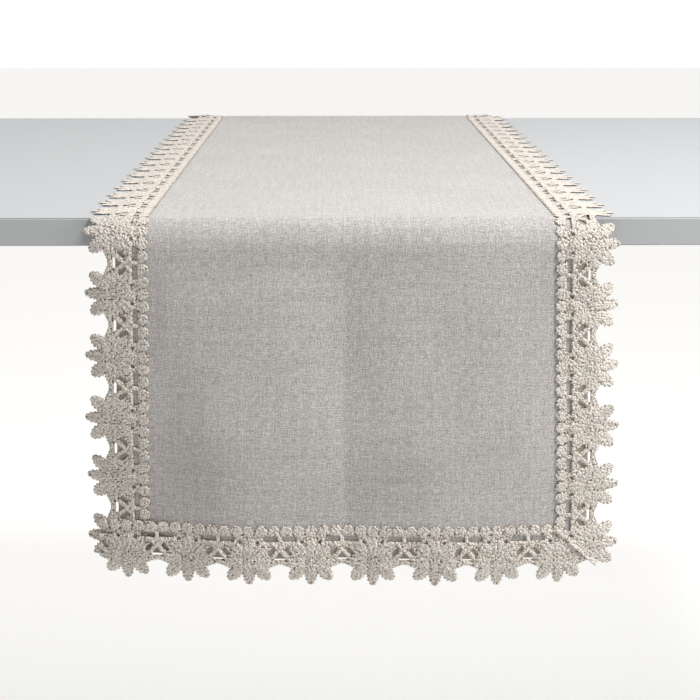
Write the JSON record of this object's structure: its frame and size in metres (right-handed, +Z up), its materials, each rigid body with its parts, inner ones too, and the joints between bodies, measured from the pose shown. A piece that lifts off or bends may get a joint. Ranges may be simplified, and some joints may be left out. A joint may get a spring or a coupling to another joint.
{
  "type": "table runner",
  "caption": "Lace-bordered linen table runner laid front to back over a table, with a hanging end over each edge.",
  "frame": {"origin": "centre of the linen's underside, on the table top", "axes": "+Z up; Y along the runner and the table's depth, with the front end at -Y; X across the runner"},
  "size_m": [0.4, 0.9092, 0.2961],
  "materials": {
    "linen_cloth": "matte plain weave",
    "lace_cotton": "matte knotted cotton lace",
    "sewing_thread": "matte cotton thread"
  },
  "bodies": {
    "table_top": {"hem_left_back_fold": "linen_cloth", "hem_left_front_fold": "linen_cloth", "hem_left_top": "linen_cloth", "hem_right_back_fold": "linen_cloth", "hem_right_front_fold": "linen_cloth", "hem_right_top": "linen_cloth", "lace_left_back_fold": "lace_cotton", "lace_left_front_fold": "lace_cotton", "lace_left_top": "lace_cotton", "lace_right_back_fold": "lace_cotton", "lace_right_front_fold": "lace_cotton", "lace_right_top": "lace_cotton", "linen_back_fold": "linen_cloth", "linen_front_fold": "linen_cloth", "linen_top": "linen_cloth", "stitching_inner_left_top": "sewing_thread", "stitching_inner_right_top": "sewing_thread", "stitching_outer_left_top": "sewing_thread", "stitching_outer_right_top": "sewing_thread"},
    "front_drop": {"hem_front_end": "linen_cloth", "hem_left_front": "linen_cloth", "hem_right_front": "linen_cloth", "lace_front_end": "lace_cotton", "lace_left_front": "lace_cotton", "lace_right_front": "lace_cotton", "linen_front": "linen_cloth", "stitching_inner_front_end": "sewing_thread", "stitching_inner_left_front": "sewing_thread", "stitching_inner_right_front": "sewing_thread", "stitching_mitre_left_front": "sewing_thread", "stitching_mitre_right_front": "sewing_thread", "stitching_outer_front_end": "sewing_thread", "stitching_outer_left_front": "sewing_thread", "stitching_outer_right_front": "sewing_thread"},
    "back_drop": {"hem_back_end": "linen_cloth", "hem_left_back": "linen_cloth", "hem_right_back": "linen_cloth", "lace_back_end": "lace_cotton", "lace_left_back": "lace_cotton", "lace_right_back": "lace_cotton", "linen_back": "linen_cloth", "stitching_inner_back_end": "sewing_thread", "stitching_inner_left_back": "sewing_thread", "stitching_inner_right_back": "sewing_thread", "stitching_mitre_left_back": "sewing_thread", "stitching_mitre_right_back": "sewing_thread", "stitching_outer_back_end": "sewing_thread", "stitching_outer_left_back": "sewing_thread", "stitching_outer_right_back": "sewing_thread"}
  },
  "joints": [
    {"name": "front_drop_fold", "type": "hinge", "parent": "table_top", "child": "front_drop", "pos_m": [0, -0.44988, -0.00062], "axis": [-1, 0, 0], "range_deg": [0, 90], "deforming": ["hem_left_front_fold", "hem_right_front_fold", "lace_left_front_fold", "lace_right_front_fold", "linen_front_fold"]},
    {"name": "back_drop_fold", "type": "hinge", "parent": "table_top", "child": "back_drop", "pos_m": [0, 0.44988, -0.00062], "axis": [1, 0, 0], "range_deg": [0, 90], "deforming": ["hem_left_back_fold", "hem_right_back_fold", "lace_left_back_fold", "lace_right_back_fold", "linen_back_fold"]}
  ]
}
